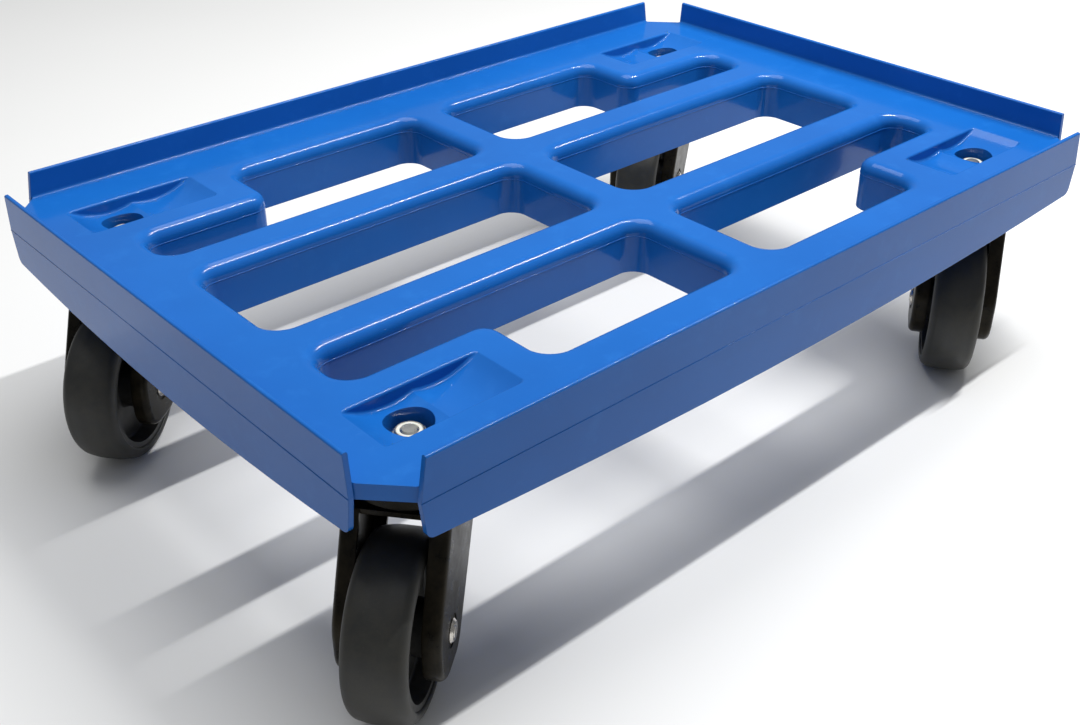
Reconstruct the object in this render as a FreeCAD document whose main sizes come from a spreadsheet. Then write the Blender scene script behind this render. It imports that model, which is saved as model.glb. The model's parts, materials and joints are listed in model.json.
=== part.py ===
"""Platform trolley: a moulded tray for 600 x 400 crates on four swivel castors.

Frame: +X along the tray, +Y across it, +Z up. The origin is on the floor, under the
middle of the tray. Lengths are in millimetres. Castor 1 is at (-X, -Y), and the rest
follow anticlockwise seen from above: 2 at (+X, -Y), 3 at (+X, +Y), 4 at (-X, +Y).
"""
import FreeCAD, Part
import os
import re

import Sketcher
from FreeCAD import Placement, Rotation, Vector

SIZES = {
    # tray
    "length": 620, "width": 420, "deck_top": 155, "plate": 4.5, "panel": 3,
    "rim_rise": 17.5, "seam_drop": 7, "skirt_drop": 28.5, "skirt_belly": 10,
    "wall_drop": 35, "wall": 4,
    "rim_end_x": 283.5, "plate_end_x": 285, "seam_end_x": 287.5, "skirt_end_x": 285,
    "rim_end_y": 183.5, "plate_end_y": 183.5, "seam_end_y": 185.5, "skirt_end_y": 182.5,
    "skirt_round": 5, "foot_round": 2, "edge_round": 1.2, "lip": 5, "lip_drop": 9,
    # openings in the deck
    "mid_row": 43, "row_in": 76, "row_out": 160, "slot_out": 110,
    "cross_half": 15, "open_end": 260, "block_in": 166,
    "opening_corner": 13, "opening_round": 8,
    # stacking pockets
    "pocket_in": 192, "pocket_out": 279, "pocket_half": 19, "cusp_x": 235,
    "cusp_drop": 6.5, "scoop_radius": 50, "scoop_foot_round": 1.6, "scoop_edge_round": 1.6,
    "pan_drop": 13.5, "pan_margin": 6,
    # castor seats under the deck
    "castor_x": 251, "castor_y": 152, "boss_radius": 30, "seat_z": 127,
    "recess_radius": 13, "recess_floor": 131, "bolt_hole": 5.3,
    "rib_half": 1.25, "rib_pitch": 60, "rib_drop": 20,
    # swivel head, with heights above the floor
    "race_radius": 33, "race_thick": 3, "race_bevel": 2, "race_skirt_z": 117.6,
    "race_ceiling_z": 121.4, "race_rib": 18, "pin_bore": 5.2, "pin_radius": 8,
    "pin_foot_radius": 11, "pin_foot_z": 103.4, "pin_foot_top_z": 105.4, "pin_gap": 0.2,
    "ball_radius": 3, "ball_ring": 24, "ball_count": 16,
    "low_ball_radius": 2, "low_ball_ring": 14, "low_ball_count": 14, "ball_gap": 0.1,
    "low_race_radius": 18.5, "low_race_thick": 2, "low_race_lip_z": 110.8,
    "seal_in": 28.5, "seal_out": 30.4, "seal_thick": 3.5,
    # fork
    "crown_z": 112, "crown_thick": 3, "fork_half": 28, "leg_thick": 2.5, "slot_half": 18,
    "crown_front": 28, "crown_back": 32, "leg_kink_z": 98, "foot_front": 27, "foot_back": 63,
    "foot_z": 27, "leg_back_z": 62, "leg_round": 17, "leg_back_round": 25,
    "bend_round": 3.5, "fork_hole": 8.6,
    "dimple_radius": 9, "dimple_depth": 0.7,
    # wheel and axle
    "trail": 40, "wheel_radius": 50, "tyre_half": 17, "tyre_bore": 41.6,
    "tread_half": 6, "tread_fall": 2, "shoulder_round": 6, "tread_round": 25,
    "rim_radius": 41.5, "rim_inner": 38, "rim_half": 15.5,
    "web_half": 3.5, "hub_radius": 15, "hub_half": 17.5, "bush_radius": 9,
    "bush_gap": 0.05, "sleeve_radius": 6, "running_gap": 0.08, "axle_radius": 4,
    "axle_gap": 0.1, "axle_head_radius": 6.5, "axle_head_thick": 2.2,
    "axle_head_bevel": 1.4, "spacer_radius": 8, "face_gap": 0.1,
    # bolt, washer and lock nut of a castor
    "bolt_radius": 5, "flats": 17, "head_thick": 6.4, "bolt_end_z": 143,
    "bolt_bevel": 1, "washer_radius": 11.5, "washer_thick": 1.6, "nut_hex": 8,
    "nut_thick": 9.8, "nut_collar": 7.6, "corner_bevel": 1.2, "nylon_radius": 6.6,
    "nylon_thick": 1.8,
    # swivel angles of the four castors, in degrees from +X
    "swivel_1": -142, "swivel_2": -146, "swivel_3": -150, "swivel_4": -141,
}
CASTORS = {1: (-1, -1), 2: (1, -1), 3: (1, 1), 4: (-1, 1)}

doc = FreeCAD.newDocument("platform_trolley")
sheet = doc.addObject("Spreadsheet::Sheet", "sheet")
for row, (alias, amount) in enumerate(SIZES.items(), start=1):
    sheet.set(f"A{row}", alias)
    sheet.set(f"B{row}", str(amount))
    sheet.setAlias(f"B{row}", alias)
doc.recompute()
nodes = []


def size(alias):
    """The number in one cell."""
    return float(sheet.get(alias))


def cells(text):
    """An expression in which every alias is read from the sheet."""
    return re.sub(r"[a-z]\w*", lambda m: f"sheet.{m[0]}" if m[0] in SIZES else m[0], text)


def amount_of(text):
    """The number that an expression stands for now."""
    return float(sheet.evalExpression(cells(text).replace("sheet.", "")))


# ---- sketches ----

def new_body(label):
    body = doc.addObject("PartDesign::Body", label)
    body.Label = label
    return body


def new_sketch(body, plane, height="0"):
    """A sketch on an origin plane of the body, moved along the plane's normal."""
    origin_plane = next(f for f in body.Origin.OriginFeatures if f.Role == plane)
    sketch = body.newObject("Sketcher::SketchObject", "outline")
    sketch.AttachmentSupport = (origin_plane, "")
    sketch.MapMode = "FlatFace"
    sketch.setExpression("AttachmentOffset.Base.z", cells(height))
    return sketch


def bind(sketch, constraint, text):
    index = sketch.addConstraint(constraint)
    sketch.setExpression(f"Constraints[{index}]", cells(text))


def hold(sketch, geometry, position, corner):
    """Bind a point of a sketch to a pair of expressions."""
    for kind, text in zip(("DistanceX", "DistanceY"), corner):
        distance = Sketcher.Constraint(kind, -1, 1, geometry, position, amount_of(text))
        bind(sketch, distance, text)


def polygon(sketch, corners):
    """A closed outline through corners, each a pair of expressions."""
    points = [Vector(amount_of(x), amount_of(y), 0) for x, y in corners]
    count = len(points)
    first = sketch.GeometryCount
    for i, point in enumerate(points):
        sketch.addGeometry(Part.LineSegment(point, points[(i + 1) % count]))
    for i, corner in enumerate(corners):
        sketch.addConstraint(Sketcher.Constraint(
            "Coincident", first + i, 2, first + (i + 1) % count, 1))
        hold(sketch, first + i, 1, corner)


def line_path(sketch, corners):
    """Straight lines from corner to corner, each a pair of expressions, left open at the ends."""
    for start, end in zip(corners, corners[1:]):
        points = [Vector(amount_of(x), amount_of(y), 0) for x, y in (start, end)]
        index = sketch.addGeometry(Part.LineSegment(*points))
        hold(sketch, index, 1, start)
        hold(sketch, index, 2, end)


def sagging_arc(sketch, ends, radius_text):
    """The lower arc of a radius between two corners, each a pair of expressions."""
    left, right = sorted(ends, key=lambda end: amount_of(end[0]))
    low, high = [Vector(amount_of(x), amount_of(y), 0) for x, y in (left, right)]
    half = (high - low) / 2
    radius = amount_of(radius_text)
    upward = Vector(-half.y, half.x, 0).normalize()
    centre = low + half + upward * (radius ** 2 - half.Length ** 2) ** 0.5
    index = sketch.addGeometry(Part.Arc(low, centre - upward * radius, high))
    hold(sketch, index, 1, left)
    hold(sketch, index, 2, right)
    bind(sketch, Sketcher.Constraint("Radius", index, radius), radius_text)


def rectangle(sketch, x_low, x_high, y_low, y_high):
    polygon(sketch, [(x_low, y_low), (x_high, y_low), (x_high, y_high), (x_low, y_high)])


def circle(sketch, x, y, radius):
    centre = Vector(amount_of(x), amount_of(y), 0)
    index = sketch.addGeometry(Part.Circle(centre, Vector(0, 0, 1), amount_of(radius)))
    hold(sketch, index, 3, (x, y))
    bind(sketch, Sketcher.Constraint("Radius", index, amount_of(radius)), radius)


# ---- features ----

def solid_feature(body, kind, sketch, length):
    """A pad along the sketch's normal, or a pocket against it."""
    feature = body.newObject(f"PartDesign::{kind}", kind.lower())
    feature.Profile = sketch
    feature.setExpression("Length", cells(length))
    sketch.Visibility = False
    doc.recompute()
    return feature


def pad(body, sketch, length):
    return solid_feature(body, "Pad", sketch, length)


def pocket(body, sketch, length):
    """A pocket that must take material away."""
    before = body.Shape.Volume
    feature = solid_feature(body, "Pocket", sketch, length)
    if body.Shape.Volume > before - 1e-3:
        raise RuntimeError(f"a pocket of {body.Label} cuts nothing")
    return feature


def fillet(body, radius, wanted):
    """Round the edges of the body's last feature that pass a test."""
    base = body.Tip
    names = [f"Edge{i}" for i, edge in enumerate(base.Shape.Edges, 1) if wanted(edge)]
    feature = body.newObject("PartDesign::Fillet", "fillet")
    feature.Base = (base, names)
    feature.setExpression("Radius", cells(radius))
    doc.recompute()
    if not names or "Invalid" in feature.State:
        raise RuntimeError(f"a fillet of {body.Label} with {len(names)} edges fails")
    return feature


def revolve(body, sketch, kind="Revolution"):
    """Turn a sketch about its own vertical axis."""
    feature = body.newObject(f"PartDesign::{kind}", kind.lower())
    feature.Profile = sketch
    feature.ReferenceAxis = (sketch, ["V_Axis"])
    feature.Angle = 360
    sketch.Visibility = False
    doc.recompute()
    return feature


def turned(label, corners, plane="XZ_Plane"):
    """A body turned from an outline of (radius, height) pairs."""
    body = new_body(label)
    sketch = new_sketch(body, plane)
    polygon(sketch, corners)
    revolve(body, sketch)
    return body


# ---- edge tests ----

def near(value, target):
    return abs(value - target) < 0.02


def along(edge, axis):
    """True for a straight edge along an axis."""
    return (isinstance(edge.Curve, Part.Line)
            and abs(edge.Curve.Direction.dot(axis)) > 0.9999)


def middle(edge):
    return edge.valueAt((edge.FirstParameter + edge.LastParameter) / 2)


def at_height(edge, z):
    return near(edge.BoundBox.ZMin, z) and near(edge.BoundBox.ZMax, z)


Y_AXIS, Z_AXIS = Vector(0, 1, 0), Vector(0, 0, 1)


# ---- tray ----

def opening(side_x, row, grow):
    """Corners of one deck opening: the middle row is a rectangle, an outer one an L."""
    x_low, x_high = f"{side_x} * (cross_half - {grow})", f"{side_x} * (open_end + {grow})"
    if row == 0:
        y = f"(mid_row + {grow})"
        return [(x_low, f"-{y}"), (x_high, f"-{y}"), (x_high, y), (x_low, y)]
    y_low, y_high = f"{row} * (row_in - {grow})", f"{row} * (row_out + {grow})"
    x_step, y_step = f"{side_x} * (block_in + {grow})", f"{row} * (slot_out + {grow})"
    return [(x_low, y_low), (x_high, y_low), (x_high, y_step),
            (x_step, y_step), (x_step, y_high), (x_low, y_high)]


def all_openings(grow):
    return [opening(side_x, row, grow) for side_x in (-1, 1) for row in (-1, 0, 1)]


def is_opening_corner(edge):
    """True for an upright edge at a corner of an opening, inside or outside its wall."""
    if not along(edge, Z_AXIS):
        return False
    point = middle(edge)
    corners = [corner for grow in ("0", "wall") for o in all_openings(grow) for corner in o]
    return any(near(point.x, amount_of(x)) and near(point.y, amount_of(y))
               for x, y in corners)


def add_openings(deck):
    """The six openings, each with a wall that hangs below the deck."""
    walls = new_sketch(deck, "XY_Plane", "deck_top - wall_drop")
    for corners in all_openings("wall"):
        polygon(walls, corners)
    pad(deck, walls, "wall_drop")
    holes = new_sketch(deck, "XY_Plane", "deck_top")
    for corners in all_openings("0"):
        polygon(holes, corners)
    pocket(deck, holes, "wall_drop")
    fillet(deck, "opening_corner", is_opening_corner)
    inside = (size("open_end") + 1, size("row_out") + 1)
    fillet(deck, "opening_round", lambda e: at_height(e, size("deck_top"))
           and abs(middle(e).x) < inside[0] and abs(middle(e).y) < inside[1])


def add_panel(deck, plane, ends, offset):
    """One side panel: rim above the deck, skirt below with a bowed foot, widest at the parting."""
    rim_end, seam_end, skirt_end = ends
    rim_z, seam_z, skirt_z = "deck_top + rim_rise", "deck_top - seam_drop", "deck_top - skirt_drop"
    path = [(f"-{skirt_end}", skirt_z), (f"-{seam_end}", seam_z), (f"-{rim_end}", rim_z),
            (rim_end, rim_z), (seam_end, seam_z), (skirt_end, skirt_z)]
    sketch = new_sketch(deck, plane, offset)
    line_path(sketch, path)
    bow = f"({skirt_end} * {skirt_end} + skirt_belly * skirt_belly) / (2 * skirt_belly)"
    sagging_arc(sketch, (path[0], path[-1]), bow)
    pad(deck, sketch, "panel")


def add_panels(deck):
    long_ends = ("rim_end_x", "seam_end_x", "skirt_end_x")
    short_ends = ("rim_end_y", "seam_end_y", "skirt_end_y")
    add_panel(deck, "XZ_Plane", long_ends, "width / 2 - panel")
    add_panel(deck, "XZ_Plane", long_ends, "-width / 2")
    add_panel(deck, "YZ_Plane", short_ends, "length / 2 - panel")
    add_panel(deck, "YZ_Plane", short_ends, "-length / 2")


def add_castor_seats(deck):
    """Under each corner a pan for the stacking pocket and a boss for the castor."""
    pans = new_sketch(deck, "XY_Plane", "deck_top - pan_drop")
    bosses = new_sketch(deck, "XY_Plane", "seat_z")
    for side_x, side_y in CASTORS.values():
        rectangle(pans, f"{side_x} * (pocket_in - pan_margin)",
                  f"{side_x} * (pocket_out + pan_margin)",
                  f"{side_y} * (castor_y - pocket_half - pan_margin)",
                  f"{side_y} * (castor_y + pocket_half + pan_margin)")
        circle(bosses, f"{side_x} * castor_x", f"{side_y} * castor_y", "boss_radius")
    pad(deck, pans, "pan_drop - plate / 2")
    pad(deck, bosses, "deck_top - plate / 2 - seat_z")


def rib(sketch, along_x, centre, low, high):
    """One rib, as a thin rectangle from low to high that reaches into its neighbours."""
    across = (f"{centre} - rib_half", f"{centre} + rib_half")
    reach = (f"{low} - rib_half", f"{high} + rib_half")
    if along_x:
        rectangle(sketch, *reach, *across)
    else:
        rectangle(sketch, *across, *reach)


def pad_ribs(deck, ribs):
    """Pad ribs down from the deck's underside. Each is (along_x, centre, low, high)."""
    sketch = new_sketch(deck, "XY_Plane", "deck_top - plate - rib_drop")
    for numbers in ribs:
        rib(sketch, *numbers)
    pad(deck, sketch, "rib_drop + plate / 2")


def add_cross_ribs(deck):
    """Ribs between the opening walls, and from these to the skirt."""
    stations = [f"{step} * rib_pitch" for step in range(-4, 5)]
    gaps = [("mid_row + wall", "row_in - wall", stations),
            ("wall - row_in", "-mid_row - wall", stations),
            ("row_out + wall", "width / 2 - panel", stations[2:-2]),
            ("panel - width / 2", "-row_out - wall", stations[2:-2])]
    for low, high, places in gaps:
        pad_ribs(deck, [(False, x, low, high) for x in places])
    slot = "(row_in + slot_out) / 2"
    rows = [f"-{slot}", "-rib_pitch / 2", "0", "rib_pitch / 2", slot]
    pad_ribs(deck, [(True, y, "open_end + wall", "length / 2 - panel") for y in rows])
    pad_ribs(deck, [(True, y, "panel - length / 2", "-open_end - wall") for y in rows])
    pad_ribs(deck, [(True, f"{step} * rib_pitch / 2", "wall - cross_half", "cross_half - wall")
                    for step in (-5, -4, 0, 4, 5)])


def add_seat_ribs(deck):
    """Crossed ribs from each castor boss to the walls and the skirt around it."""
    lengthways, crossways = [], []
    for side_x, side_y in CASTORS.values():
        x_ends = [f"{side_x} * (block_in + wall)", f"{side_x} * (length / 2 - panel)"]
        y_ends = [f"{side_y} * (slot_out + wall)", f"{side_y} * (width / 2 - panel)"]
        lengthways.append((True, f"{side_y} * castor_y", *sorted(x_ends, key=amount_of)))
        crossways.append((False, f"{side_x} * castor_x", *sorted(y_ends, key=amount_of)))
    pad_ribs(deck, lengthways)
    pad_ribs(deck, crossways)


def add_pocket_outline(sketch, side_x):
    """A stacking pocket in profile: two scoops that meet in a ridge, open at the top."""
    outer = (f"{side_x} * pocket_out", "deck_top")
    inner = (f"{side_x} * pocket_in", "deck_top")
    ridge = (f"{side_x} * cusp_x", "deck_top - cusp_drop")
    above = "deck_top + edge_round"
    sagging_arc(sketch, (outer, ridge), "scoop_radius")
    sagging_arc(sketch, (ridge, inner), "scoop_radius")
    line_path(sketch, [inner, (inner[0], above), (outer[0], above), outer])


def add_stacking_pockets(deck):
    for near_edge in ("castor_y + pocket_half", "-castor_y + pocket_half"):
        profile = new_sketch(deck, "XZ_Plane", near_edge)
        for side_x in (-1, 1):
            add_pocket_outline(profile, side_x)
        pocket(deck, profile, "2 * pocket_half")
    walls = [amount_of(f"castor_y {sign} pocket_half") for sign in "+-"]

    def in_wall(edge):
        box = edge.BoundBox
        return near(box.YMin, box.YMax) and any(near(abs(box.YMin), wall) for wall in walls)

    fillet(deck, "scoop_foot_round", lambda e: in_wall(e) and isinstance(e.Curve, Part.Circle)
           and near(e.Curve.Radius, size("scoop_radius")))
    fillet(deck, "scoop_edge_round", lambda e: in_wall(e) and at_height(e, size("deck_top"))
           and size("pocket_in") - 1 < abs(middle(e).x) < size("pocket_out") + 1)


def add_bolt_holes(deck):
    recesses = new_sketch(deck, "XY_Plane", "deck_top")
    holes = new_sketch(deck, "XY_Plane", "deck_top")
    for side_x, side_y in CASTORS.values():
        centre = (f"{side_x} * castor_x", f"{side_y} * castor_y")
        circle(recesses, *centre, "recess_radius")
        circle(holes, *centre, "bolt_hole")
    pocket(deck, recesses, "deck_top - recess_floor")
    pocket(deck, holes, "wall_drop")


def add_corner_lips(deck, inner_x, inner_y):
    """The plate's cut corners, thickened downwards."""
    lips = new_sketch(deck, "XY_Plane", "deck_top - lip_drop")
    for side_x, side_y in CASTORS.values():
        x, y = f"{side_x} * {inner_x}", f"{side_y} * {inner_y}"
        end_x, end_y = f"{side_x} * plate_end_x", f"{side_y} * plate_end_y"
        polygon(lips, [(x, end_y), (end_x, y), (f"{end_x} - {side_x} * lip", y),
                       (x, f"{end_y} - {side_y} * lip")])
    pad(deck, lips, "lip_drop - plate")


def make_deck():
    """The tray, one moulding."""
    deck = new_body("deck")
    plate = new_sketch(deck, "XY_Plane", "deck_top - plate")
    x, y = "(length / 2 - panel)", "(width / 2 - panel)"
    polygon(plate, [(x, "-plate_end_y"), (x, "plate_end_y"), ("plate_end_x", y),
                    ("-plate_end_x", y), (f"-{x}", "plate_end_y"), (f"-{x}", "-plate_end_y"),
                    ("-plate_end_x", f"-{y}"), ("plate_end_x", f"-{y}")])
    pad(deck, plate, "plate")
    add_corner_lips(deck, x, y)
    add_openings(deck)
    add_panels(deck)
    top, rim_top = size("deck_top"), size("deck_top") + size("rim_rise")
    inner_x, inner_y = amount_of(x), amount_of(y)
    fillet(deck, "foot_round", lambda e: at_height(e, top)
           and (near(abs(middle(e).x), inner_x) or near(abs(middle(e).y), inner_y)))
    fillet(deck, "skirt_round", lambda e: at_height(e, top - size("skirt_drop"))
           and e.Length < size("panel") + 1)
    fillet(deck, "edge_round", lambda e: at_height(e, rim_top) and e.Length > inner_y)
    add_castor_seats(deck)
    add_cross_ribs(deck)
    add_seat_ribs(deck)
    add_stacking_pockets(deck)
    add_bolt_holes(deck)
    return deck


# ---- bolts, washers and nuts ----

def hexagon(sketch):
    """A hexagon with two flats across X, sized by the distance across flats."""
    corner = "flats / 2 / cos(30)"
    polygon(sketch, [(f"{corner} * cos({turn})", f"{corner} * sin({turn})")
                     for turn in range(0, 360, 60)])


def hexagon_block(body, low, thick):
    """A plain hexagonal block standing on one level."""
    sketch = new_sketch(body, "XY_Plane", low)
    hexagon(sketch)
    pad(body, sketch, thick)


def bevel_corners(body, face_z, back_z):
    """Cut the corners of a hexagon back to a cone at one face."""
    sketch = new_sketch(body, "XZ_Plane")
    polygon(sketch, [("flats / 2", face_z), ("flats", face_z), ("flats", back_z)])
    revolve(body, sketch, "Groove")


def make_bolt():
    """Hexagon bolt with its head below the swivel pin, point up."""
    bolt = new_body("bolt_pattern")
    head_top = "pin_foot_z - ball_gap"
    hexagon_block(bolt, f"{head_top} - head_thick", "head_thick")
    bevel_corners(bolt, f"{head_top} - head_thick", f"{head_top} - head_thick + corner_bevel * 4")
    shank = new_sketch(bolt, "XZ_Plane")
    polygon(shank, [("0", f"{head_top} - 1"), ("bolt_radius", f"{head_top} - 1"),
                    ("bolt_radius", "bolt_end_z - bolt_bevel"),
                    ("bolt_radius - bolt_bevel", "bolt_end_z"), ("0", "bolt_end_z")])
    revolve(bolt, shank)
    return bolt


def make_washer():
    low = "recess_floor"
    return turned("washer_pattern", [
        ("bolt_hole", low), ("washer_radius", low),
        ("washer_radius", f"{low} + washer_thick"), ("bolt_hole", f"{low} + washer_thick")])


def make_nut():
    """Lock nut: a hexagon and a round collar that holds the nylon ring."""
    nut = new_body("nut_pattern")
    low = "recess_floor + washer_thick"
    hexagon_block(nut, low, "nut_hex")
    bevel_corners(nut, f"{low} + nut_hex", f"{low} + nut_hex - corner_bevel * 4")
    collar = new_sketch(nut, "XZ_Plane")
    top = f"{low} + nut_thick"
    polygon(collar, [("0", f"{low} + nut_hex - 1"), ("nut_collar", f"{low} + nut_hex - 1"),
                     ("nut_collar", f"{top} - bolt_bevel / 2"),
                     ("nut_collar - bolt_bevel / 2", top), ("0", top)])
    revolve(nut, collar)
    bore = new_sketch(nut, "XY_Plane", top)
    circle(bore, "0", "0", "bolt_radius")
    pocket(nut, bore, "nut_thick")
    seat = new_sketch(nut, "XY_Plane", top)
    circle(seat, "0", "0", "nylon_radius")
    pocket(nut, seat, "nylon_thick")
    return nut


def make_nylon_ring():
    top = "recess_floor + washer_thick + nut_thick"
    return turned("ring_pattern", [
        ("bolt_radius", f"{top} - nylon_thick"), ("nylon_radius", f"{top} - nylon_thick"),
        ("nylon_radius", f"{top} - bolt_bevel / 5"), ("bolt_radius", f"{top} - bolt_bevel / 5")])


def castor_centre(index):
    side_x, side_y = CASTORS[index]
    return Vector(side_x * size("castor_x"), side_y * size("castor_y"), 0)


def one_at_each_castor(label, pattern):
    """A node of four equal pieces, one at each castor."""
    group = doc.addObject("Part::Feature", label)
    group.Label = label
    group.Shape = Part.makeCompound(
        [pattern.Shape.translated(castor_centre(index)) for index in CASTORS])
    group.Placement = Placement()
    return group


# ---- castors ----

def make_top_race(label):
    """Pressed cap that sits under the deck and covers the large balls."""
    return turned(label, [
        ("pin_radius", "seat_z"), ("race_radius - race_bevel", "seat_z"),
        ("race_radius", "seat_z - race_bevel"), ("race_radius", "race_skirt_z"),
        ("race_radius - leg_thick + 0.5", "race_skirt_z"),
        ("race_radius - leg_thick + 0.5", "race_ceiling_z"),
        ("race_rib", "race_ceiling_z"), ("race_rib", "seat_z - race_thick"),
        ("pin_radius", "seat_z - race_thick")])


def make_swivel_pin(label):
    """Hollow rivet that holds the head together. Its foot carries the lower race."""
    return turned(label, [
        ("pin_bore", "pin_foot_z"), ("pin_foot_radius", "pin_foot_z"),
        ("pin_foot_radius", "pin_foot_top_z"), ("pin_radius - pin_gap / 4", "pin_foot_top_z"),
        ("pin_radius - pin_gap / 4", "seat_z"), ("pin_bore", "seat_z")])


def make_lower_race(label):
    """Dish on the foot of the swivel pin that carries the small balls."""
    low, top = "pin_foot_top_z", "pin_foot_top_z + low_race_thick"
    lip = "low_race_radius - low_race_thick"
    return turned(label, [
        ("pin_radius", low), ("low_race_radius", low), ("low_race_radius", "low_race_lip_z"),
        (lip, "low_race_lip_z"), (lip, top), ("pin_radius", top)])


def make_balls(label):
    """Both rings of balls, as separate spheres in one node."""
    rings = [("ball", amount_of("crown_z + crown_thick + ball_gap + ball_radius")),
             ("low_ball", amount_of("crown_z - ball_gap - low_ball_radius"))]
    spheres = []
    for name, height in rings:
        count = int(size(f"{name}_count"))
        for i in range(count):
            place = Rotation(Z_AXIS, 360 * i / count).multVec(Vector(size(f"{name}_ring"), 0, height))
            spheres.append(Part.makeSphere(size(f"{name}_radius"), place))
    balls = doc.addObject("Part::Feature", label)
    balls.Label = label
    balls.Shape = Part.makeCompound(spheres)
    return balls


def make_dust_seal(label):
    """Soft ring between the fork's crown and the skirt of the top race."""
    low = "crown_z + crown_thick"
    return turned(label, [
        ("seal_in", low), ("seal_out", low), ("seal_out", f"{low} + seal_thick"),
        ("seal_in", f"{low} + seal_thick")])


def make_fork(label):
    """Pressed fork: a crown and two legs whose edges are bent inwards."""
    fork = new_body(label)
    crown_top = "crown_z + crown_thick"
    outline = [("-crown_front", crown_top), ("-crown_front", "leg_kink_z"),
               ("foot_front", "foot_z"), ("foot_back", "foot_z"),
               ("foot_back", "leg_back_z"), ("crown_back", crown_top)]
    block = new_sketch(fork, "XZ_Plane", "-fork_half")
    polygon(block, outline)
    pad(fork, block, "2 * fork_half")
    for radius, corner_z in (("leg_round", "foot_z"), ("leg_back_round", "leg_back_z")):
        height = size(corner_z)
        fillet(fork, radius, lambda e: along(e, Y_AXIS) and near(middle(e).z, height))
    side = size("fork_half")
    top = amount_of(crown_top)
    fillet(fork, "bend_round", lambda e: near(abs(e.BoundBox.YMin), side)
           and near(e.BoundBox.YMin, e.BoundBox.YMax) and not at_height(e, top))
    rounded = fork.Tip
    open_faces = [f"Face{i}" for i, face in enumerate(rounded.Shape.Faces, 1)
                  if near(face.BoundBox.ZMin, top)]
    shell = fork.newObject("PartDesign::Thickness", "shell")
    shell.Base = (rounded, open_faces)
    shell.Reversed = True
    shell.setExpression("Value", cells("leg_thick"))
    doc.recompute()
    slot = new_sketch(fork, "XY_Plane", crown_top)
    rectangle(slot, "-2 * crown_front", "2 * foot_back", "-slot_half", "slot_half")
    pocket(fork, slot, crown_top)
    crown = new_sketch(fork, "XY_Plane", "crown_z")
    rectangle(crown, "-crown_front", "crown_back", "-fork_half + bend_round",
              "fork_half - bend_round")
    pad(fork, crown, "crown_thick")
    hole = new_sketch(fork, "XY_Plane", crown_top)
    circle(hole, "0", "0", "fork_hole")
    pocket(fork, hole, "crown_thick")
    for radius, depth, offset in (
            ("axle_radius + axle_gap / 2", "2 * fork_half", "fork_half"),
            ("dimple_radius", "dimple_depth", "fork_half"),
            ("dimple_radius", "dimple_depth", "dimple_depth - fork_half")):
        bore = new_sketch(fork, "XZ_Plane", offset)
        circle(bore, "trail", "wheel_radius", radius)
        pocket(fork, bore, depth)
    return fork


def make_axle(label):
    """Rivet through the fork, with a formed head at each end."""
    seat = "(fork_half - dimple_depth)"
    end = f"({seat} + axle_head_thick)"
    step = f"({end} - axle_head_bevel)"
    half = [("axle_radius", seat), ("axle_head_radius", seat), ("axle_head_radius", step),
            ("axle_head_radius - axle_head_bevel", end), ("0", end)]
    mirrored = [(x, f"-{y}") for x, y in reversed(half)]
    return turned(label, half + mirrored, "XY_Plane")


def make_sleeve(label):
    """Steel tube on the axle, clamped between the spacers, that the wheel runs on."""
    bore, end = "axle_radius + axle_gap", "hub_half"
    return turned(label, [(bore, f"-{end}"), ("sleeve_radius", f"-{end}"),
                          ("sleeve_radius", end), (bore, end)], "XY_Plane")


def make_spacers(label):
    """Two thick washers between the sleeve and the fork's legs."""
    inner, outer = "hub_half + face_gap", "fork_half - leg_thick - face_gap"
    pattern = turned(f"{label}_pattern", [
        ("axle_radius + axle_gap", inner), ("spacer_radius", inner),
        ("spacer_radius", outer), ("axle_radius + axle_gap", outer)], "XY_Plane")
    spacers = doc.addObject("Part::Feature", label)
    spacers.Label = label
    spacers.Shape = Part.makeCompound([pattern.Shape.copy(), pattern.Shape.mirror(Vector(), Y_AXIS)])
    return spacers


def make_bush(label):
    bore, end = "sleeve_radius + running_gap", "hub_half - face_gap"
    return turned(label, [(bore, f"-({end})"), ("bush_radius", f"-({end})"),
                          ("bush_radius", end), (bore, end)], "XY_Plane")


def make_wheel_core(label):
    """Moulded centre: hub, web and rim."""
    hub = "hub_half - face_gap"
    bore = "bush_radius + bush_gap"
    half = [(bore, hub), ("hub_radius", hub), ("hub_radius", "web_half"),
            ("rim_inner", "web_half"), ("rim_inner", "rim_half"), ("rim_radius", "rim_half")]
    core = turned(label, half + [(x, f"-({y})") for x, y in reversed(half)], "XY_Plane")
    web = size("web_half")
    fillet(core, "web_half / 2", lambda e: near(e.BoundBox.YMin, e.BoundBox.YMax)
           and near(abs(e.BoundBox.YMin), web))
    return core


def make_tyre(label):
    """Tread ring with a gentle crown and round shoulders."""
    edge = "wheel_radius - tread_fall"
    half = [("tyre_bore", "tyre_half"), (edge, "tyre_half"), ("wheel_radius", "tread_half")]
    tyre = turned(label, half + [(x, f"-{y}") for x, y in reversed(half)], "XY_Plane")
    for radius, rounding in ((edge, "shoulder_round"), ("wheel_radius", "tread_round"),
                             ("tyre_bore", "edge_round")):
        reach = amount_of(radius)
        fillet(tyre, rounding, lambda e: isinstance(e.Curve, Part.Circle)
               and near(e.Curve.Radius, reach) and near(e.BoundBox.YMin, e.BoundBox.YMax))
    return tyre


HEAD_MAKERS = {"top_race": make_top_race, "swivel_pin": make_swivel_pin,
               "lower_race": make_lower_race}
FORK_MAKERS = {"fork": make_fork, "balls": make_balls, "dust_seal": make_dust_seal}
WHEEL_MAKERS = {"axle": make_axle, "sleeve": make_sleeve, "spacers": make_spacers,
                "bush": make_bush, "wheel_core": make_wheel_core, "tyre": make_tyre}


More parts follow.
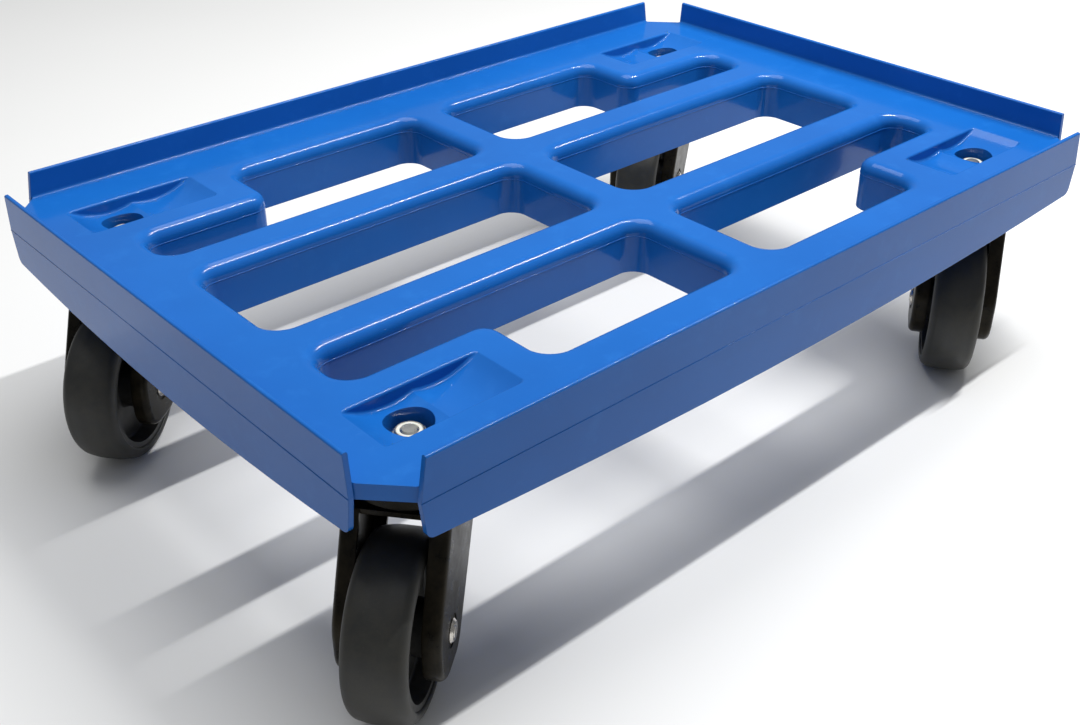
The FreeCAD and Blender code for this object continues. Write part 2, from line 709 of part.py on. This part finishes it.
def add_castor(index):
    """All pieces of one castor, at its place and swivel angle."""
    head = Placement(castor_centre(index), Rotation())
    swivelled = Placement(castor_centre(index), Rotation(Z_AXIS, size(f"swivel_{index}")))
    wheel = swivelled * Placement(Vector(size("trail"), 0, size("wheel_radius")), Rotation())
    for makers, place in ((HEAD_MAKERS, head), (FORK_MAKERS, swivelled), (WHEEL_MAKERS, wheel)):
        for name, maker in makers.items():
            piece = maker(f"{name}_{index}")
            piece.Placement = place
            nodes.append(piece)


def write_parts():
    """Check every object, then write each node's solids to its own file."""
    doc.recompute()
    for thing in doc.Objects:
        if {"Invalid", "Error"} & set(thing.State):
            raise RuntimeError(f"{thing.Label} is {thing.State}")
    for node in nodes:
        if node.Shape.isNull() or not node.Shape.isValid() or not node.Shape.Solids:
            raise RuntimeError(f"{node.Label} has no valid solid")
    os.makedirs("parts", exist_ok=True)
    for node in nodes:
        node.Shape.exportStep(f"parts/{node.Label}.step")


nodes.append(make_deck())
for group_label, maker in (("king_bolts", make_bolt), ("king_washers", make_washer),
                           ("king_nuts", make_nut), ("nylon_rings", make_nylon_ring)):
    nodes.append(one_at_each_castor(group_label, maker()))
for castor_index in CASTORS:
    add_castor(castor_index)
write_parts()
print(len(nodes), "nodes written")
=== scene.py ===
"""Looks of a plastic platform trolley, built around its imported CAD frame.

Every CAD node keeps its shape and gets a procedural material. The thin mesh pieces added here are
details of the same surfaces: mould seams, ejector marks and rivet rings.
Lengths are in metres, and +X runs along the tray, +Y across it and +Z up from the floor.
"""

import json
import math

import bmesh
import bpy
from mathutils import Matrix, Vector


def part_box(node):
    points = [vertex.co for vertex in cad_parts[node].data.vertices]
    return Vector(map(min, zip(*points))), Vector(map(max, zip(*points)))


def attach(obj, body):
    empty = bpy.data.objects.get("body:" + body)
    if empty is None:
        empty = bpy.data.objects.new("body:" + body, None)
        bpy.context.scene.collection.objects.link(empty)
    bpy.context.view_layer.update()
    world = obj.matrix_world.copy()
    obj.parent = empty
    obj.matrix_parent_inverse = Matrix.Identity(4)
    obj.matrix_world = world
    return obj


MM = 0.001

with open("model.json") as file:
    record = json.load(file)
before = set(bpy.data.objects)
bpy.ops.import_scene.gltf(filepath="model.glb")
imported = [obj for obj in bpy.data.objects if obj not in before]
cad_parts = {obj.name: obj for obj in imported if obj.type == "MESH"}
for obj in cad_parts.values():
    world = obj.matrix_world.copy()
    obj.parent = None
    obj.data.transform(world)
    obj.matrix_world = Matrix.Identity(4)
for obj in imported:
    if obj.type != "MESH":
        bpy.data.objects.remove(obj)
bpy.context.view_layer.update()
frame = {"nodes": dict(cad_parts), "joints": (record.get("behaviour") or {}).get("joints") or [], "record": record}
NODES = frame["nodes"]
RECORD = frame["record"]
CASTORS = (1, 2, 3, 4)

# ---------------------------------------------------------------- places taken from the frame

TRAY_LOW, TRAY_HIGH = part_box("deck")
DECK_TOP = next(m["pos_m"][2] for m in RECORD["mounts"] if m["name"] == "load_deck")
JOINTS = {joint["name"]: joint for joint in frame["joints"]}


def wheel_centre(castor):
    """The middle of one wheel, on its axle."""
    return Vector(JOINTS[f"wheel_spin_{castor}"]["pos_m"])


def axle_direction(castor):
    """The direction of one wheel's axle."""
    return Vector(JOINTS[f"wheel_spin_{castor}"]["axis"])


# ---------------------------------------------------------------- materials


class Surface:
    """One material, with short calls for the chains of nodes that the surfaces here need."""

    def __init__(self, name, base, rough, metallic=0.0, coat=0.0, coat_rough=0.1, specular=0.5):
        self.material = bpy.data.materials.new(name)
        self.material.use_nodes = True
        self.tree = self.material.node_tree
        self.shader = self.tree.nodes["Principled BSDF"]
        self.shader.inputs["Base Color"].default_value = (*base, 1.0)
        self.shader.inputs["Roughness"].default_value = rough
        self.shader.inputs["Metallic"].default_value = metallic
        self.shader.inputs["Coat Weight"].default_value = coat
        self.shader.inputs["Coat Roughness"].default_value = coat_rough
        self.shader.inputs["Specular IOR Level"].default_value = specular
        self.place = self.add("ShaderNodeTexCoord").outputs["Object"]
        self.normal = None

    def add(self, kind, **settings):
        """A new node, with its settings."""
        node = self.tree.nodes.new(kind)
        for name, value in settings.items():
            setattr(node, name, value)
        return node

    def join(self, output, socket):
        """Link an output, or set a plain value."""
        if isinstance(output, bpy.types.NodeSocket):
            self.tree.links.new(output, socket)
        else:
            socket.default_value = output

    def moved(self, place, turn=0.0, stretch=(1.0, 1.0, 1.0)):
        """Coordinates measured from a place, turned about Z, then stretched."""
        shift = self.add("ShaderNodeMapping", vector_type="POINT")
        self.join(self.place, shift.inputs["Vector"])
        shift.inputs["Location"].default_value = -Vector(place)
        spin = self.add("ShaderNodeMapping", vector_type="POINT")
        self.join(shift.outputs["Vector"], spin.inputs["Vector"])
        spin.inputs["Rotation"].default_value = (0.0, 0.0, -turn)
        scale = self.add("ShaderNodeMapping", vector_type="POINT")
        self.join(spin.outputs["Vector"], scale.inputs["Vector"])
        scale.inputs["Scale"].default_value = stretch
        return scale.outputs["Vector"]

    def noise(self, scale, detail=3.0, rough=0.55, where=None):
        """Noise from 0 to 1, with a given number of cells in a metre."""
        node = self.add("ShaderNodeTexNoise")
        self.join(where or self.place, node.inputs["Vector"])
        node.inputs["Scale"].default_value = scale
        node.inputs["Detail"].default_value = detail
        node.inputs["Roughness"].default_value = rough
        return node.outputs["Fac"]

    def remap(self, value, start, end, low=0.0, high=1.0):
        """The stretch from start to end of a value, mapped to low up to high."""
        node = self.add("ShaderNodeMapRange")
        self.join(value, node.inputs["Value"])
        node.inputs["From Min"].default_value = start
        node.inputs["From Max"].default_value = end
        node.inputs["To Min"].default_value = low
        node.inputs["To Max"].default_value = high
        return node.outputs["Result"]

    def maths(self, operation, first, second):
        """One arithmetic step."""
        node = self.add("ShaderNodeMath", operation=operation)
        self.join(first, node.inputs[0])
        self.join(second, node.inputs[1])
        return node.outputs[0]

    def split(self, vector):
        """The X, Y and Z of a vector."""
        node = self.add("ShaderNodeSeparateXYZ")
        self.join(vector, node.inputs[0])
        return node.outputs

    def facing(self):
        """The X, Y and Z of the surface's own direction."""
        return self.split(self.add("ShaderNodeTexCoord").outputs["Normal"])

    def tint(self, amount, first, second):
        """A colour between two, where amount goes from 0 to 1."""
        node = self.add("ShaderNodeMix", data_type="RGBA")
        self.join(amount, node.inputs["Factor"])
        for value, socket in ((first, node.inputs["A"]), (second, node.inputs["B"])):
            self.join((*value, 1.0) if isinstance(value, tuple) else value, socket)
        return node.outputs["Result"]

    def colour(self, output):
        """Colour the surface."""
        self.join(output, self.shader.inputs["Base Color"])

    def roughness(self, output):
        """Set how rough the surface is from place to place."""
        self.join(output, self.shader.inputs["Roughness"])

    def round_edges(self, radius):
        """Shade hard edges as if they were rounded, as moulded and painted edges are."""
        node = self.add("ShaderNodeBevel", samples=4)
        node.inputs["Radius"].default_value = radius
        self.normal = node.outputs["Normal"]

    def bump(self, height, depth, strength):
        """Raise the surface by a height that goes from 0 to 1, over the bumps already there."""
        node = self.add("ShaderNodeBump")
        node.inputs["Strength"].default_value = strength
        node.inputs["Distance"].default_value = depth
        self.join(height, node.inputs["Height"])
        if self.normal is not None:
            self.join(self.normal, node.inputs["Normal"])
        self.normal = node.outputs["Normal"]
        self.join(self.normal, self.shader.inputs["Normal"])


def tray_plastic():
    """Blue moulded plastic: satin and finely grained, with faint flow marks, scuffs and dust."""
    blue, deep, pale = (0.009, 0.122, 0.450), (0.007, 0.102, 0.390), (0.020, 0.170, 0.540)
    surface = Surface("tray_plastic", blue, 0.30, specular=0.10, coat=0.30, coat_rough=0.09)
    flow = surface.noise(5.0, detail=5.0, rough=0.6)
    blotches = surface.noise(60.0, detail=4.0, rough=0.65)
    grain = surface.noise(2600.0, detail=2.0, rough=0.6)
    long_scratches = surface.noise(
        34.0, detail=8.0, rough=0.72, where=surface.moved((0.0, 0.0, 0.0), stretch=(0.35, 6.0, 6.0))
    )
    cross_scratches = surface.noise(
        34.0, detail=8.0, rough=0.72, where=surface.moved((0.2, 0.1, 0.0), 0.5, (6.0, 0.3, 6.0))
    )
    scratched = surface.maths("MAXIMUM", surface.remap(long_scratches, 0.68, 0.76),
                              surface.remap(cross_scratches, 0.69, 0.77))
    upward = surface.remap(surface.facing()[2], 0.9, 1.0)
    scratched = surface.maths("MULTIPLY", scratched, upward)
    tone = surface.tint(surface.remap(flow, 0.35, 0.65), blue, deep)
    tone = surface.tint(surface.remap(blotches, 0.55, 0.85, 0.0, 0.35), tone, pale)
    tone = surface.tint(surface.maths("MULTIPLY", scratched, 0.12), tone, (0.12, 0.30, 0.70))
    surface.colour(tone)
    gloss = surface.remap(blotches, 0.3, 0.7, 0.18, 0.25)
    gloss = surface.maths("ADD", gloss, surface.maths("MULTIPLY", scratched, 0.15))
    surface.roughness(gloss)
    surface.round_edges(0.7 * MM)
    surface.bump(flow, 1.2 * MM, 0.25)
    surface.bump(grain, 0.05 * MM, 0.35)
    surface.bump(scratched, -0.02 * MM, 0.3)
    return surface.material


def black_steel():
    """Black coat over yellow plated steel, shining dark brown, with orange peel and dust."""
    black, brown = (0.007, 0.0065, 0.005), (0.026, 0.021, 0.013)
    surface = Surface("black_steel", black, 0.3, metallic=0.3, specular=0.12)
    dust = surface.noise(90.0, detail=6.0, rough=0.7)
    surface.colour(surface.tint(surface.remap(dust, 0.35, 0.7), black, brown))
    surface.roughness(surface.remap(dust, 0.3, 0.8, 0.24, 0.42))
    surface.round_edges(0.5 * MM)
    surface.bump(surface.noise(420.0, detail=2.0), 0.10 * MM, 0.3)
    return surface.material


def plated_steel():
    """Zinc plated steel, slightly yellow and clouded."""
    bright, dull = (0.60, 0.60, 0.57), (0.42, 0.42, 0.38)
    surface = Surface("plated_steel", bright, 0.28, metallic=1.0)
    cloud = surface.noise(220.0, detail=5.0, rough=0.65)
    surface.colour(surface.tint(surface.remap(cloud, 0.35, 0.7), bright, dull))
    surface.roughness(surface.remap(cloud, 0.3, 0.7, 0.2, 0.42))
    surface.bump(surface.noise(1500.0, detail=3.0), 0.05 * MM, 0.4)
    return surface.material


def bright_steel():
    """The bright rivet ends of the axles, with fine turning marks."""
    surface = Surface("bright_steel", (0.66, 0.63, 0.58), 0.2, metallic=1.0)
    marks = surface.noise(1800.0, detail=3.0, rough=0.6)
    bright, dull = (0.70, 0.67, 0.62), (0.45, 0.42, 0.38)
    surface.colour(surface.tint(surface.remap(marks, 0.35, 0.7), bright, dull))
    surface.roughness(surface.remap(marks, 0.3, 0.7, 0.16, 0.32))
    surface.bump(marks, 0.04 * MM, 0.4)
    return surface.material


def ball_steel():
    """Polished bearing balls under a film of grease."""
    steel, greasy = (0.62, 0.61, 0.60), (0.40, 0.34, 0.24)
    surface = Surface("ball_steel", steel, 0.12, metallic=1.0, coat=0.3, coat_rough=0.25)
    film = surface.noise(500.0, detail=3.0)
    surface.colour(surface.tint(surface.remap(film, 0.4, 0.7), steel, greasy))
    surface.roughness(surface.remap(film, 0.3, 0.7, 0.08, 0.3))
    return surface.material


def nylon():
    """The whitish locking ring of a nut."""
    surface = Surface("nylon", (0.62, 0.62, 0.55), 0.45)
    surface.shader.inputs["Subsurface Weight"].default_value = 0.15
    surface.shader.inputs["Subsurface Scale"].default_value = 1.0 * MM
    stain = surface.noise(300.0, detail=4.0)
    white, stained = (0.66, 0.66, 0.60), (0.48, 0.45, 0.36)
    surface.colour(surface.tint(surface.remap(stain, 0.4, 0.8), white, stained))
    surface.roughness(surface.remap(stain, 0.3, 0.7, 0.38, 0.52))
    surface.bump(surface.noise(1400.0, detail=2.0), 0.06 * MM, 0.4)
    return surface.material


def seal_rubber():
    """The matt rubber of the dust seals."""
    surface = Surface("seal_rubber", (0.012, 0.012, 0.012), 0.6)
    dust = surface.noise(400.0, detail=4.0)
    black, dusty = (0.010, 0.010, 0.010), (0.05, 0.048, 0.042)
    surface.colour(surface.tint(surface.remap(dust, 0.45, 0.8), black, dusty))
    surface.roughness(surface.remap(dust, 0.3, 0.7, 0.5, 0.75))
    surface.bump(surface.noise(1600.0, detail=2.0), 0.06 * MM, 0.5)
    return surface.material


def core_plastic():
    """The dark grey plastic of the wheel cores, lightly textured."""
    surface = Surface("core_plastic", (0.030, 0.030, 0.029), 0.42)
    dust = surface.noise(130.0, detail=6.0, rough=0.7)
    grey, dusty = (0.024, 0.024, 0.023), (0.075, 0.070, 0.060)
    surface.colour(surface.tint(surface.remap(dust, 0.5, 0.85, 0.0, 0.7), grey, dusty))
    surface.roughness(surface.remap(dust, 0.3, 0.7, 0.34, 0.58))
    surface.bump(surface.noise(1900.0, detail=2.0), 0.05 * MM, 0.5)
    return surface.material


def tread_rubber(castor):
    """Dark grey rubber, mottled with dust, and a little paler where the tread has rolled."""
    grey, brown, worn = (0.019, 0.020, 0.019), (0.034, 0.031, 0.023), (0.042, 0.042, 0.038)
    surface = Surface(f"tread_rubber_{castor}", grey, 0.5, specular=0.4)
    axle = axle_direction(castor)
    local = surface.moved(wheel_centre(castor), math.atan2(-axle.x, axle.y))
    along, _, up = surface.split(local)
    squares = (surface.maths("MULTIPLY", along, along), surface.maths("MULTIPLY", up, up))
    reach = surface.maths("POWER", surface.maths("ADD", *squares), 0.5)
    tyre_low, tyre_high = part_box(f"tyre_{castor}")
    rim = (tyre_high.z - tyre_low.z) / 2
    tread = surface.remap(reach, rim - 1.5 * MM, rim)
    mottle = surface.noise(55.0, detail=7.0, rough=0.7)
    speckle = surface.noise(900.0, detail=3.0, rough=0.6)
    tone = surface.tint(surface.remap(mottle, 0.42, 0.75), grey, brown)
    wear = surface.maths("MULTIPLY", tread, surface.remap(mottle, 0.35, 0.7, 0.1, 0.55))
    tone = surface.tint(wear, tone, worn)
    tone = surface.tint(surface.remap(speckle, 0.62, 0.8, 0.0, 0.3), tone, (0.075, 0.070, 0.058))
    surface.colour(tone)
    surface.roughness(surface.remap(mottle, 0.3, 0.7, 0.42, 0.6))
    surface.bump(speckle, 0.1 * MM, 0.35)
    surface.bump(surface.noise(140.0, detail=3.0), 0.25 * MM, 0.3)
    return surface.material


MATERIALS = {
    "tray_plastic": tray_plastic(),
    "black_steel": black_steel(),
    "plated_steel": plated_steel(),
    "bright_steel": bright_steel(),
    "ball_steel": ball_steel(),
    "nylon": nylon(),
    "seal_rubber": seal_rubber(),
    "core_plastic": core_plastic(),
}


def dress_cad_nodes():
    """Give every CAD node the material of its slot. Each tyre has one of its own."""
    treads = {f"tyre_{castor}": tread_rubber(castor) for castor in CASTORS}
    for entry in RECORD["subparts"]:
        node = NODES[entry["node"]]
        material = treads.get(entry["node"]) or MATERIALS[entry["material_slot"]]
        if not node.material_slots:
            node.data.materials.append(material)
        for place in node.material_slots:
            place.material = material


# ---------------------------------------------------------------- mesh pieces


def add_piece(name, mesh, slot, body):
    """Put a finished bmesh in the scene as a smooth piece that rides on a body."""
    data = bpy.data.meshes.new(name)
    mesh.to_mesh(data)
    mesh.free()
    data.shade_smooth()
    piece = bpy.data.objects.new(name, data)
    bpy.context.scene.collection.objects.link(piece)
    data.materials.append(MATERIALS[slot])
    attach(piece, body)


def loops_at_level(node, level):
    """The closed outlines of a CAD node cut by a level plane, as lists of points in order."""
    cut = bmesh.new()
    cut.from_mesh(NODES[node].data)
    bmesh.ops.remove_doubles(cut, verts=cut.verts, dist=0.002 * MM)
    bmesh.ops.bisect_plane(
        cut,
        geom=cut.verts[:] + cut.edges[:] + cut.faces[:],
        plane_co=(0.0, 0.0, level),
        plane_no=(0.0, 0.0, 1.0),
        clear_inner=True,
        clear_outer=True,
    )
    bmesh.ops.remove_doubles(cut, verts=cut.verts, dist=0.01 * MM)
    loops, seen = [], set()
    for start in cut.verts:
        if start in seen or len(start.link_edges) != 2:
            continue
        loop, vert, edge = [], start, start.link_edges[0]
        while vert not in seen and len(vert.link_edges) == 2:
            seen.add(vert)
            loop.append(vert.co.copy())
            vert = edge.other_vert(vert)
            edge = next((e for e in vert.link_edges if e is not edge), edge)
        if vert is start:
            loops.append(loop)
    cut.free()
    return loops


def encloses(loop, point):
    """Whether a level loop goes round a point."""
    inside = False
    for a, b in zip(loop, loop[1:] + loop[:1]):
        if (a.y > point.y) != (b.y > point.y):
            inside ^= point.x < a.x + (point.y - a.y) / (b.y - a.y) * (b.x - a.x)
    return inside


def signed_area(loop):
    """The area inside a level loop, positive where it runs anticlockwise seen from above."""
    return sum(a.x * b.y - b.x * a.y for a, b in zip(loop, loop[1:] + loop[:1])) / 2


def sweep(mesh, path, profile, closed):
    """Sweep a profile of (rightward, upward) offsets along a level path."""
    rings = []
    count = len(path)
    for i, point in enumerate(path):
        before = path[i - 1] if closed or i else point
        after = path[(i + 1) % count] if closed or i < count - 1 else point
        course = (after - before).normalized()
        right = Vector((course.y, -course.x, 0.0))
        rings.append([mesh.verts.new(point + right * offset + Vector((0.0, 0.0, height)))
                      for offset, height in profile])
    stretches = zip(rings, rings[1:] + rings[:1]) if closed else zip(rings, rings[1:])
    for a, b in stretches:
        for j in range(len(profile)):
            k = (j + 1) % len(profile)
            mesh.faces.new((a[j], a[k], b[k], b[j]))
    if not closed:
        mesh.faces.new(rings[0][::-1])
        mesh.faces.new(rings[-1])


SEAM_WIDTH = 0.7 * MM
SEAM_RISE = 0.28 * MM
SEAM_STEPS = 6
OPENING_SEAM_Z = DECK_TOP - 10.0 * MM
OPENING_REACH = 10.0 * MM
PANEL_SEAM_Z = DECK_TOP - 7.0 * MM
FLATNESS = 0.05 * MM


def seam_profile():
    """The half-round ridge that a mould leaves where its halves meet, sunk a little in the wall."""
    half = SEAM_WIDTH / 2
    angles = [math.pi * i / SEAM_STEPS for i in range(SEAM_STEPS + 1)]
    arc = [(SEAM_RISE * math.sin(a), -half * math.cos(a)) for a in angles]
    return [(-SEAM_RISE, -half)] + arc + [(-SEAM_RISE, half)]


def add_opening_seams():
    """The mould seam round the walls of each opening."""
    mesh = bmesh.new()
    loops = loops_at_level("deck", OPENING_SEAM_Z)
    profile = seam_profile()
    for space in RECORD["physics"]["openings"]:
        low, high = (Vector(corner) for corner in space["box_m"])
        above_deck = high.z > DECK_TOP + OPENING_REACH
        if above_deck or space["name"].endswith("slot"):
            continue
        around = [loop for loop in loops if encloses(loop, (low + high) / 2)]
        if around:
            wall = min(around, key=lambda loop: abs(signed_area(loop)))
            sweep(mesh, wall if signed_area(wall) < 0 else wall[::-1], profile, closed=True)
    add_piece("opening_seams", mesh, "tray_plastic", "tray")


def add_panel_seams():
    """The mould seam along the four outer panels, where they lean in above and below it."""
    mesh = bmesh.new()
    profile = seam_profile()
    corners = [p for loop in loops_at_level("deck", PANEL_SEAM_Z) for p in loop]
    for axis, other in ((0, 1), (1, 0)):
        for side, edge in ((-1, TRAY_LOW[axis]), (1, TRAY_HIGH[axis])):
            reach = max(abs(p[other]) for p in corners if abs(p[axis] - edge) < FLATNESS)
            ends = []
            for end in (-reach, reach):
                point = Vector((0.0, 0.0, PANEL_SEAM_Z))
                point[axis], point[other] = edge, end
                ends.append(point)
            outside_on_right = (side < 0) == (axis == 1)
            sweep(mesh, ends if outside_on_right else ends[::-1], profile, closed=False)
    add_piece("panel_seams", mesh, "tray_plastic", "tray")


LATHE_STEPS = 32


def lathe(mesh, centre, axis, profile):
    """Turn a profile of (radius, height) about an axis, on which it starts and ends."""
    axis = Vector(axis).normalized()
    side = axis.orthogonal().normalized()
    other = axis.cross(side)
    angles = [2 * math.pi * i / LATHE_STEPS for i in range(LATHE_STEPS)]
    spokes = [side * math.cos(a) + other * math.sin(a) for a in angles]
    poles = [mesh.verts.new(centre + axis * height) for _, height in (profile[0], profile[-1])]
    rings = [[mesh.verts.new(centre + axis * height + spoke * radius) for spoke in spokes]
             for radius, height in profile[1:-1]]
    for i in range(LATHE_STEPS):
        j = (i + 1) % LATHE_STEPS
        mesh.faces.new((poles[0], rings[0][j], rings[0][i]))
        for low, high in zip(rings, rings[1:]):
            mesh.faces.new((low[i], low[j], high[j], high[i]))
        mesh.faces.new((poles[1], rings[-1][i], rings[-1][j]))


EJECTOR_RADIUS = 4.0 * MM
EJECTOR_RISE = 0.3 * MM
EJECTOR_PITCH = 60.0 * MM
SUNK = 0.2 * MM


def add_ejector_marks():
    """Low round pads on the tray's underside, where the mould's pins push it out."""
    mesh = bmesh.new()
    deck = NODES["deck"]
    radius, rise = EJECTOR_RADIUS, EJECTOR_RISE
    profile = [(0.0, -SUNK), (radius, -SUNK), (radius, rise * 0.6), (radius - rise, rise),
               (radius * 0.8, rise), (radius * 0.7, rise * 0.5), (0.0, rise * 0.5)]
    counts = [int(TRAY_HIGH[axis] / EJECTOR_PITCH) for axis in (0, 1)]
    for i in range(-counts[0], counts[0]):
        for j in range(-counts[1], counts[1]):
            place = Vector(((i + 0.5) * EJECTOR_PITCH, (j + 0.5) * EJECTOR_PITCH, 0.0))
            probes = [place + Vector((x, y, 0.0)) * radius * 1.5
                      for x, y in ((0, 0), (1, 0), (0, 1), (-1, 0), (0, -1))]
            hits = [deck.ray_cast(probe, (0.0, 0.0, 1.0)) for probe in probes]
            heights = [point.z for found, point, normal, _ in hits if found and normal.z < -0.99]
            if len(heights) == len(probes) and max(heights) - min(heights) < FLATNESS:
                lathe(mesh, Vector((place.x, place.y, heights[0])), (0.0, 0.0, -1.0), profile)
    add_piece("ejector_marks", mesh, "tray_plastic", "tray")


RIVET_PROFILE = [
    (0.0, -SUNK), (3.6 * MM, -SUNK), (3.4 * MM, 0.25 * MM), (2.9 * MM, 0.4 * MM),
    (2.4 * MM, 0.25 * MM), (1.6 * MM, 0.1 * MM), (0.8 * MM, 0.22 * MM), (0.0, 0.3 * MM),
]


def add_rivet_rings(castor):
    """The rings that the riveting tool leaves on both ends of one axle."""
    mesh = bmesh.new()
    axle = NODES[f"axle_{castor}"]
    for side in (-1, 1):
        outward = axle_direction(castor) * side
        start = wheel_centre(castor) + outward * TRAY_HIGH.y
        found, place, _, _ = axle.ray_cast(start, -outward)
        if found:
            lathe(mesh, place, outward, RIVET_PROFILE)
    add_piece(f"rivet_rings_{castor}", mesh, "bright_steel", f"swivel_{castor}")


# ---------------------------------------------------------------- floor, light and camera


FLOOR_HALF = 30.0


def add_floor():
    """A plain pale floor under the wheels."""
    mesh = bmesh.new()
    bmesh.ops.create_grid(mesh, x_segments=1, y_segments=1, size=FLOOR_HALF)
    data = bpy.data.meshes.new("floor")
    mesh.to_mesh(data)
    mesh.free()
    floor = bpy.data.objects.new("floor", data)
    bpy.context.scene.collection.objects.link(floor)
    grey, pale = (0.73, 0.73, 0.72), (0.76, 0.76, 0.75)
    surface = Surface("floor_paint", grey, 0.6, specular=0.2)
    surface.colour(surface.tint(surface.noise(3.0, detail=2.0), grey, pale))
    data.materials.append(surface.material)


def add_world():
    """A grey surround that grows pale overhead."""
    world = bpy.data.worlds.new("studio")
    world.use_nodes = True
    bpy.context.scene.world = world
    tree = world.node_tree
    background = tree.nodes["Background"]
    ramp = tree.nodes.new("ShaderNodeValToRGB")
    ramp.color_ramp.elements[0].color = (0.40, 0.40, 0.40, 1.0)
    ramp.color_ramp.elements[0].position = 0.45
    ramp.color_ramp.elements[1].color = (1.05, 1.07, 1.1, 1.0)
    ramp.color_ramp.elements[1].position = 0.9
    height = tree.nodes.new("ShaderNodeSeparateXYZ")
    tree.links.new(tree.nodes.new("ShaderNodeTexCoord").outputs["Generated"], height.inputs[0])
    spread = tree.nodes.new("ShaderNodeMapRange")
    spread.inputs["From Min"].default_value = -1.0
    tree.links.new(height.outputs["Z"], spread.inputs["Value"])
    tree.links.new(spread.outputs["Result"], ramp.inputs["Fac"])
    tree.links.new(ramp.outputs["Color"], background.inputs["Color"])
    background.inputs["Strength"].default_value = 0.33


def add_light(name, place, length, width, power):
    """A soft light that faces straight down, with its length along X."""
    data = bpy.data.lights.new(name, "AREA")
    data.shape = "RECTANGLE"
    data.size = length
    data.size_y = width
    data.energy = power
    light = bpy.data.objects.new(name, data)
    light.location = place
    bpy.context.scene.collection.objects.link(light)


CAMERA_PLACE = Vector((-0.552, -0.584, 0.505))
CAMERA_TURN = math.radians(-41.9)
CAMERA_TILT = math.radians(31.8)
CAMERA_LENS = 42.9


def add_camera():
    """The camera stands where the photographer stood, off the tray's near corner."""
    data = bpy.data.cameras.new("camera")
    data.sensor_width = 36.0
    data.lens = CAMERA_LENS
    data.clip_start = 0.01
    camera = bpy.data.objects.new("camera", data)
    camera.location = CAMERA_PLACE
    camera.rotation_euler = (math.radians(90) - CAMERA_TILT, 0.0, CAMERA_TURN)
    bpy.context.scene.collection.objects.link(camera)
    bpy.context.scene.camera = camera


dress_cad_nodes()
add_opening_seams()
add_panel_seams()
add_ejector_marks()
for number in CASTORS:
    add_rivet_rings(number)
add_floor()
add_world()
add_light("overhead", (0.0, 0.3, 2.0), length=1.4, width=1.4, power=28.0)
add_light("strip_lamp", (0.75, -0.25, 1.5), length=1.0, width=0.035, power=26.0)
add_camera()
bpy.context.scene.view_settings.view_transform = "Standard"
